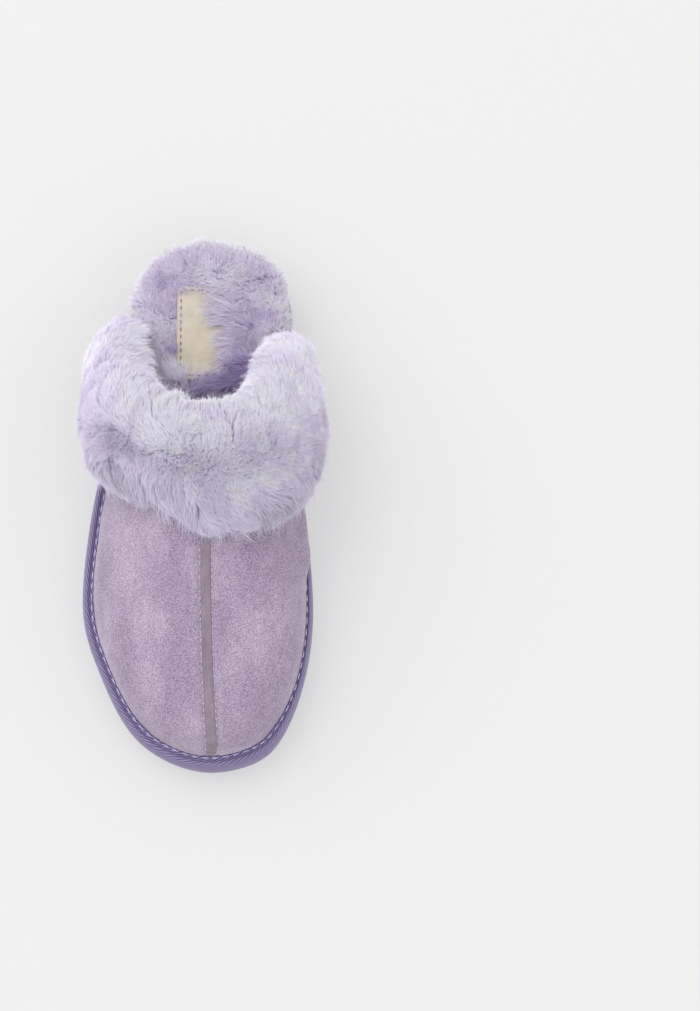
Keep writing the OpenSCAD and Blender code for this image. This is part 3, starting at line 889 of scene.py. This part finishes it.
def build_cuff(rng):
    """The cuff's dense wool, smaller than its outline by what the strands add, and the strands."""
    rows, cols, shrink = 300, 120, 4.2
    b, a = np.meshgrid(np.linspace(-CUFF_END, CUFF_END, rows), np.linspace(0, 1, cols), indexing="ij")
    q, h = cuff_core(b, a, shrink)
    q = q - 14.0 * smooth((-b - 0.62) / 0.32)
    lumpy = upper(topline(b) - q / STATION_MM, b, -h)
    swell = 1.6 * noise(lumpy, 19, 11) + 0.8 * noise(lumpy, 8, 12) + 0.25 * noise(lumpy, 3.5, 13)
    skin = upper(topline(b) - q / STATION_MM, b, -(h + swell * smooth((h - 2) / 4)))
    # the free ends bend to the outer side, and both flanks sag outwards
    inner = smooth((a - 0.3) / 0.3)
    outer = 1 - inner
    skin[..., 0] -= 4.5 * smooth((-b - 0.83) / 0.13) + 3.0 * outer * bump(b, -0.58, 0.2)
    skin[..., 0] += 2.5 * outer * bump(b, 0.62, 0.22) - 3.5 * inner * bump(b, 0.72, 0.22)
    skin[..., 0] -= 2.0 * smooth((b - 0.7) / 0.25)
    hide_b = b[:, 1:30]
    hide_q = strip_w(hide_b) * np.linspace(0, 1, 30)[1:]
    under = upper(topline(hide_b) - hide_q / STATION_MM, hide_b, -(4 * GAP + HIDE_T))
    rings = np.concatenate([skin, under], 1)
    core = place("cuff_pile", capped_mesh("cuff_pile", rings), WOOL_CORE, ["cuff_wool"])
    grid = Grid(skin, up=1)

    def flow_of(i, j, roots, normal):
        """Combed forward in front, back over the throat, and outwards at the free ends."""
        forward = -unit(grid.sample(i, j, grid.along_j))
        a_at, b_at = grid.sample(i, j, a), grid.sample(i, j, b)
        turn = mix(1.0, -1.0, smooth((a_at - 0.08) / 0.5))[:, None]
        outwards = np.stack([0.55 * np.sign(b_at) * np.abs(b_at) ** 1.6, 0 * b_at, -0.2 + 0 * b_at], -1)
        inwards = smooth((0.5 - b_at) / 0.7)[:, None] * np.array([0.5, 0.0, 0.0])
        end = smooth((np.abs(b_at) - 0.8) / 0.17)[:, None]
        back = np.stack([-1.6 * (b_at < 0), 1.8 + 0 * b_at, 0 * b_at], -1)
        combed = forward * turn + (outwards + inwards) * (turn > 0) + end * back
        messy = mix(1.0, 0.45, smooth((a_at - 0.3) / 0.15))[:, None]
        return combed + messy * (0.55 * swirl(roots, 17, 81) + 0.35 * swirl(roots, 7, 84))

    def shape(i, j, roots, rng):
        a_at, b_at = grid.sample(i, j, a), grid.sample(i, j, b)
        crest = bump(a_at, 0.34, 0.17)
        deep = smooth((a_at - 0.8) / 0.12)
        combed = 1 - smooth((a_at - 0.08) / 0.2)
        end = smooth((-b_at - 0.78) / 0.12) * smooth((a_at - 0.5) / 0.2)
        tuft = bump(a_at, 0.72, 0.15) * bump(b_at, 0.62, 0.15)
        near = bump(a_at, 0.7, 0.14) * bump(b_at, 0.05, 0.4)
        low_edge = combed * smooth((np.abs(b_at) - 0.6) / 0.15)
        flyaway = rng.random(len(i)) < 0.06
        length = 9.0 - 4.3 * crest - 2.5 * deep + 4.0 * combed
        length = length - 1.5 * end + 2.0 * tuft - 2.0 * near - 4.5 * low_edge
        length = length * spread(rng, i, 0.25)
        lean = 0.78 - 0.55 * crest + 0.14 * combed - 0.2 * bump(a_at, 0.64, 0.14)
        lean = lean * spread(rng, i, 0.15)
        width = 0.28 * spread(rng, i, 0.25) * (1 - 0.2 * deep)
        gather = (0.2 - 0.16 * crest + 0.55 * combed) * spread(rng, i, 0.4)
        wave = (0.35 + 0.1 * combed) * spread(rng, i, 0.6)
        tone = 0.1 + np.interp(b_at, FRONT_AT, FRONT_TONE) * combed
        tone = tone + np.interp(b_at, CREST_AT, CREST_TONE) * bump(a_at, 0.28, 0.13)
        tone = tone + 0.26 * bump(b_at, -0.5, 0.26) + 0.5 * deep + 0.4 * end + 0.25 * noise(roots, 20, 21)
        length, lean = length * (1 + 0.25 * flyaway), lean * (1 - 0.4 * flyaway)
        return length, lean.clip(0, 0.95), width * (1 - 0.45 * flyaway), gather * ~flyaway, wave, tone

    weight = 1.0 + 0.7 * (1 - smooth(a / 0.18)) + 1.0 * bump(a, 0.34, 0.17)
    count = 140000
    grow("cuff_strands", grid, count, rng, WOOL, 12, flow_of, shape, weight, 7.5, stray=0.19)


LABEL_HALF = np.array([LABEL_W, LABEL_L]) / 2
LABEL_SHIFT = np.array([-2.8, 0.0])
LABEL_MIDDLE = (outline(LATERAL, LABEL_STATION) + outline(MEDIAL, LABEL_STATION)) / 2 + LABEL_SHIFT


def label_mask(p, grow_by=0.0):
    """1 on the label, 0 off it, soft over a millimetre."""
    past = np.abs(p[..., :2] - LABEL_MIDDLE) - LABEL_HALF - grow_by
    return 1 - smooth((past.max(-1) + 0.5) / 1.5)


def build_footbed(rng):
    """The fleece footbed: a pad with round edges, thicker round the heel, pressed in at the label."""
    rows, round_share, bend = 70, 0.3, 0.6
    side, t, _ = around(360)
    inset = mix(seam(side, t) + SUEDE_T + LINING_T + 3 * GAP, -2.0, smooth((t - 7.12) / 0.35))
    toe = mix(1.8, 1.0, smooth(t / 3))
    low, pile = BASE + FOAM_T + GAP, FOOTBED_PILE - 3.6
    heel = smooth((t - 6.9) / 0.8)
    start = ring_points(side, t, inset + 1.4 * toe + 4.2 * heel, low)
    rim = ring_points(side, t, inset + 5.6 * toe + 5.0 * heel, low)
    middle_y = start[:, 1].clip(-88, 96)
    spine = np.stack([np.interp(middle_y, [-95, -20, 60, 110], [4.0, -1.0, 1.0, 4.0]), middle_y], -1)
    pad = []
    for share in np.arange(rows) / (rows - 1):
        if share < round_share:
            turn = share / round_share * np.pi / 2
            under = math.sin(min(1, turn / bend) * np.pi / 2) ** 0.6 * math.cos(bend)
            flat = mix(rim[:, :2], start[:, :2], math.cos(turn) if turn > bend else under)
            z = low + (pile + 1.6 * heel) * math.sin(turn) ** 0.9
        else:
            inner = ((share - round_share) / (1 - round_share)) ** 0.9
            flat = mix(rim[:, :2], spine, inner * 0.998)
            z = low + pile + 1.6 * heel * (1 - smooth(inner * 1.6))
        pad.append(at_height(flat, z))
    pad = np.stack(pad)
    lumps = 1.3 * noise(pad, 13, 31) + 0.8 * noise(pad, 6, 32)
    pressed = label_mask(pad, 1.5)
    pad[..., 2] += lumps * smooth((np.arange(rows) / rows - 0.08) / 0.2)[:, None] * (1 - pressed)
    pad[..., 2] = mix(pad[..., 2], np.minimum(pad[..., 2], PILE_TOP - 0.2), pressed)
    mesh = capped_mesh("footbed_pile", np.concatenate([rim[None], pad]))
    core = place("footbed_pile", mesh, FLEECE_CORE, ["footbed_fleece"])
    closed = np.concatenate([pad, pad[:, :1]], 1)
    grid = Grid(closed, up=1)

    def beside_label(roots):
        """How far each root belongs to the wool right of, behind and before the label."""
        x, y = (roots[:, :2] - LABEL_MIDDLE).T
        in_x = smooth((LABEL_W / 2 + 5 - np.abs(x)) / 4)
        in_y = smooth((LABEL_L / 2 + 5 - np.abs(y)) / 4)
        right = in_y * smooth((x - 8) / 3) * (1 - smooth((x - LABEL_W / 2 - 5) / 6))
        behind = in_x * smooth((y - 18) / 3) * (1 - smooth((y - LABEL_L / 2 - 3) / 5))
        before = in_x * smooth((-y - 18) / 3) * (1 - smooth((-y - LABEL_L / 2 - 5) / 5))
        return right, behind, before

    def flow_of(i, j, roots, normal):
        """Curls, outwards at the rim and over the label beside it."""
        over = np.stack(beside_label(roots), -1) @ [[-2.2, 0.1, 0.0], [0.3, -1.3, 0.0], [0.3, 1.0, 0.0]]
        halo = (1 - smooth((i / (rows - 1) - 0.12) / 0.2))[:, None] * unit(normal * [1.0, 1.0, 0.2])
        curls = (1.3 * swirl(roots, 11, 91) + 0.7 * swirl(roots, 5, 94)) * (1 - 0.6 * (halo != 0))
        return curls + 1.2 * halo + rng.normal(size=roots.shape) * 0.2 + [0.0, 0.15, -0.15] + over

    def shape(i, j, roots, rng):
        right, behind, before = beside_label(roots)
        near = np.maximum(right, np.maximum(0.7 * behind, 0.5 * before))
        y = roots[:, 1] - LABEL_MIDDLE[1]
        corner = right * np.maximum(smooth((y - 4) / 10), 1.6 * smooth((-y - 6) / 8))
        flyaway = rng.random(len(i)) < 0.08
        at_edge = 1 - smooth((i / (rows - 1) - 0.1) / 0.25)
        length = (7.6 - 0.8 * at_edge + 4.2 * near + 2.5 * corner) * spread(rng, i, 0.3)
        lean = mix(0.62, 0.85, near) * spread(rng, i, 0.4) * (1 - 0.3 * at_edge)
        width, gather = 0.3 * spread(rng, i, 0.25), 0.45 * spread(rng, i, 0.4)
        wave = (0.5 + 0.4 * near) * spread(rng, i, 0.6)
        # darker before the label, where the vamp shades it
        shade = smooth((64 - roots[:, 1] + 0.4 * roots[:, 0]) / 16)
        tone = 0.42 - 0.4 * at_edge + 0.24 * noise(roots, 12, 41) + 0.6 * shade
        length, lean = length * (1 + 0.3 * flyaway), lean * (1 - 0.4 * flyaway)
        return length, lean.clip(0, 0.9), width * (1 - 0.35 * flyaway), gather * ~flyaway, wave, tone

    clear = (1 - label_mask(closed, 0.3)) * (1 + 1.2 * label_mask(closed, 2.5))
    y = closed[..., 1]
    inside = (np.arange(rows)[:, None] > round_share * rows) | (y > 66)
    seen = (0.1 + 0.9 * smooth((y + 5) / 45)) * inside * (y > -40)
    count = 60000
    grow("footbed_strands", grid, count, rng, FLEECE, 5, flow_of, shape, clear * seen, 7.0)


def build_lining(rng):
    """The pile inside the vamp, a sheet from the throat to the toe that ends just over the footbed."""
    face, pile, start = SUEDE_T + LINING_T + 5 * GAP, 2.6, 2.3
    r, across = np.meshgrid(np.linspace(0, 1, 110), np.linspace(-0.97, 0.97, 70), indexing="ij")
    guess = mix(start, topline(across), r)
    share = np.clip((PILE_TOP + 0.6 - BASE) / (rise(guess) - face - 3), 0, 0.97)
    b = across * np.arccos(share ** (1 / ROUNDNESS)) / (np.pi / 2)
    t = mix(start, topline(b), r)
    soft = upper(t, b, face + pile)
    inner = upper(t, b, face + pile + 0.8 * noise(soft, 7, 51) + 0.4 * noise(soft, 3.5, 52))
    mesh = sheet_mesh("lining_pile", inner, upper(t, b, face))
    place("lining_pile", mesh, FLEECE_CORE, ["vamp_fleece"])

    def flow_of(i, j, roots, normal):
        return rng.normal(size=roots.shape) * 0.5 + [0.0, 0.5, 0.0]

    def shape(i, j, roots, rng):
        sizes = ((5.2, 0.3), (0.4, 0.4), (0.5, 0.25), (0.8, 0.4), (0.8, 0.6))
        return *(size * spread(rng, i, half) for size, half in sizes), 0.6 + 0.2 * noise(roots, 12, 61)

    weight = 0.25 + 0.75 * smooth((r - 0.45) / 0.3)
    count = 16000
    grow("lining_strands", Grid(inner, up=-1), count, rng, FLEECE, 2, flow_of, shape, weight, 4.5)


# ---- label ----


def on_label(x, y, z):
    """Points x, y from the label's middle and z above the pile, bent as the label is."""
    bent = 0.5 * noise(np.stack([x, y, 0 * x], -1), 17, 71) + 0.45 * (y / LABEL_L * 2) ** 2
    return np.stack([x + LABEL_MIDDLE[0], y + LABEL_MIDDLE[1], PILE_TOP + z + bent], -1)


def build_label():
    """A soft-cornered leather patch with a pressed line near its edge, and its stitches."""
    margin, thick, half = 2.0, 1.15, 0.32
    v, u = np.meshgrid(np.linspace(-1, 1, 120), np.linspace(-1, 1, 70), indexing="ij")
    pinch = 1 - 0.035 * (u * v) ** 6
    x, y = u * LABEL_W / 2 * pinch, v * LABEL_L / 2 * pinch
    border = np.minimum(LABEL_W / 2 - np.abs(x), LABEL_L / 2 - np.abs(y))
    z = GAP + thick - 0.28 * bump(border, margin, 0.45) - 0.55 * (1 - smooth(border / 0.9))
    mesh = sheet_mesh("label_patch", on_label(x, y, z), on_label(x, y, -0.3))
    place("label_patch", mesh, LABEL, ["heel_label"])

    corners = np.array([[1, -1], [1, 1], [-1, 1], [-1, -1], [1, -1]]) * (LABEL_HALF - margin)
    paths = []
    v = np.linspace(-half, half, 7)
    for a, c in zip(corners[:-1], corners[1:]):
        count = round(float(np.linalg.norm(c - a)) / LABEL_PITCH)
        flat = a + (c - a) * ((np.arange(count)[:, None] + 0.5 + v[None]) / count)[..., None]
        z = GAP + thick - 0.05 - 0.6 * (np.abs(v) / half) ** 4
        paths.append(on_label(flat[..., 0], flat[..., 1], z))
    mesh = threads_mesh("label_thread", np.concatenate(paths), 0.28, sides=7, twist=6.0)
    place("label_thread", mesh, LABEL_THREAD, ["label_stitching"])


# ---- hidden CAD pieces ----


def dress_hidden():
    """Looks for the CAD pieces that stay as imported from model.glb."""
    looks = {
        "midsole": plain_fabric_look("foam", (232, 230, 232), (244, 243, 245), 1.5),
        "sock_board": plain_fabric_look("board", (186, 172, 148), (206, 194, 172), 2.5),
        "vamp_lining": plain_fabric_look("knit", (176, 162, 198), (204, 194, 220), 1.0),
        "cuff_hide": plain_fabric_look("hide", (196, 188, 206), (220, 214, 226), 1.8),
        "closing_stitches": THREAD,
        "topline_stitches": THREAD,
    }
    looks["footbed_foam"] = looks["midsole"]
    for name, material in looks.items():
        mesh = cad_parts[name].data
        mesh.materials.clear()
        mesh.materials.append(material)


# ---- studio ----


def aimed(name, data, spot, way):
    """An object at a spot that looks along way."""
    thing = linked(name, data)
    thing.location = spot
    thing.rotation_mode = "QUATERNION"
    thing.rotation_quaternion = way.to_track_quat("-Z", "Y")
    return thing


def studio():
    """An even white world, a floor that shines a little, and two soft lamps in metres and watts."""
    white = (1.0, 1.0, 1.0, 1.0)
    scene = bpy.context.scene
    scene.view_settings.view_transform = "Standard"
    world = bpy.data.worlds.new("studio")
    world.use_nodes = True
    background = world.node_tree.nodes["Background"].inputs
    background["Color"].default_value, background["Strength"].default_value = white, 1.09
    scene.world = world

    reach = 4.0
    corners = [(-reach, -reach, 0), (reach, -reach, 0), (reach, reach, 0), (-reach, reach, 0)]
    floor_mesh = bpy.data.meshes.new("floor")
    floor_mesh.from_pydata(corners, [], [(0, 1, 2, 3)])
    floor = linked("floor", floor_mesh)
    look = Look("floor", roughness=0.9, specular=0.0)
    look.feed(look.shader, {"Base Color": srgb(158, 158, 158)})
    look.feed(look.shader, {"Emission Color": white, "Emission Strength": 0.42})
    floor_mesh.materials.append(look.material)

    lamps = (("key", (-1.3, 0.9, 1.9), 2.4, 24.0), ("fill", (0.9, -0.9, 1.8), 1.8, 3.0))
    for name, spot, size, power in lamps:
        data = bpy.data.lights.new(name, "AREA")
        data.size, data.energy = size, power
        aimed(name, data, spot, -Vector(spot))


def camera():
    """Above the toe side, looking down. The slipper stands left of the middle of the picture."""
    aim = Vector((0.0706, -0.0010, 0.020))
    elevation, distance = math.radians(79.5), 1.615
    back = Vector((0, -math.cos(elevation), math.sin(elevation)))
    data = bpy.data.cameras.new("camera")
    data.lens = 120.0
    bpy.context.scene.camera = aimed("camera", data, aim + back * distance, -back)


camera()
studio()
dress_hidden()
build_outsole()
build_wrap()
seam_stitches("sole_seam_thread", 0.0, 7.2, THREAD, "sole_seam_stitches")
seam_stitches("heel_seam_thread", 7.2, 10.0, DARK_THREAD, "heel_seam_stitches")
build_vamp(LATERAL, "vamp_outer_half", "vamp_lateral")
build_vamp(MEDIAL, "vamp_inner_half", "vamp_medial")
build_tape()
tape_stitches(LATERAL, "tape_thread_outer", "tape_stitches_lateral")
tape_stitches(MEDIAL, "tape_thread_inner", "tape_stitches_medial")
build_label()
generator = np.random.default_rng(38)
build_footbed(generator)
build_lining(generator)
build_cuff(generator)
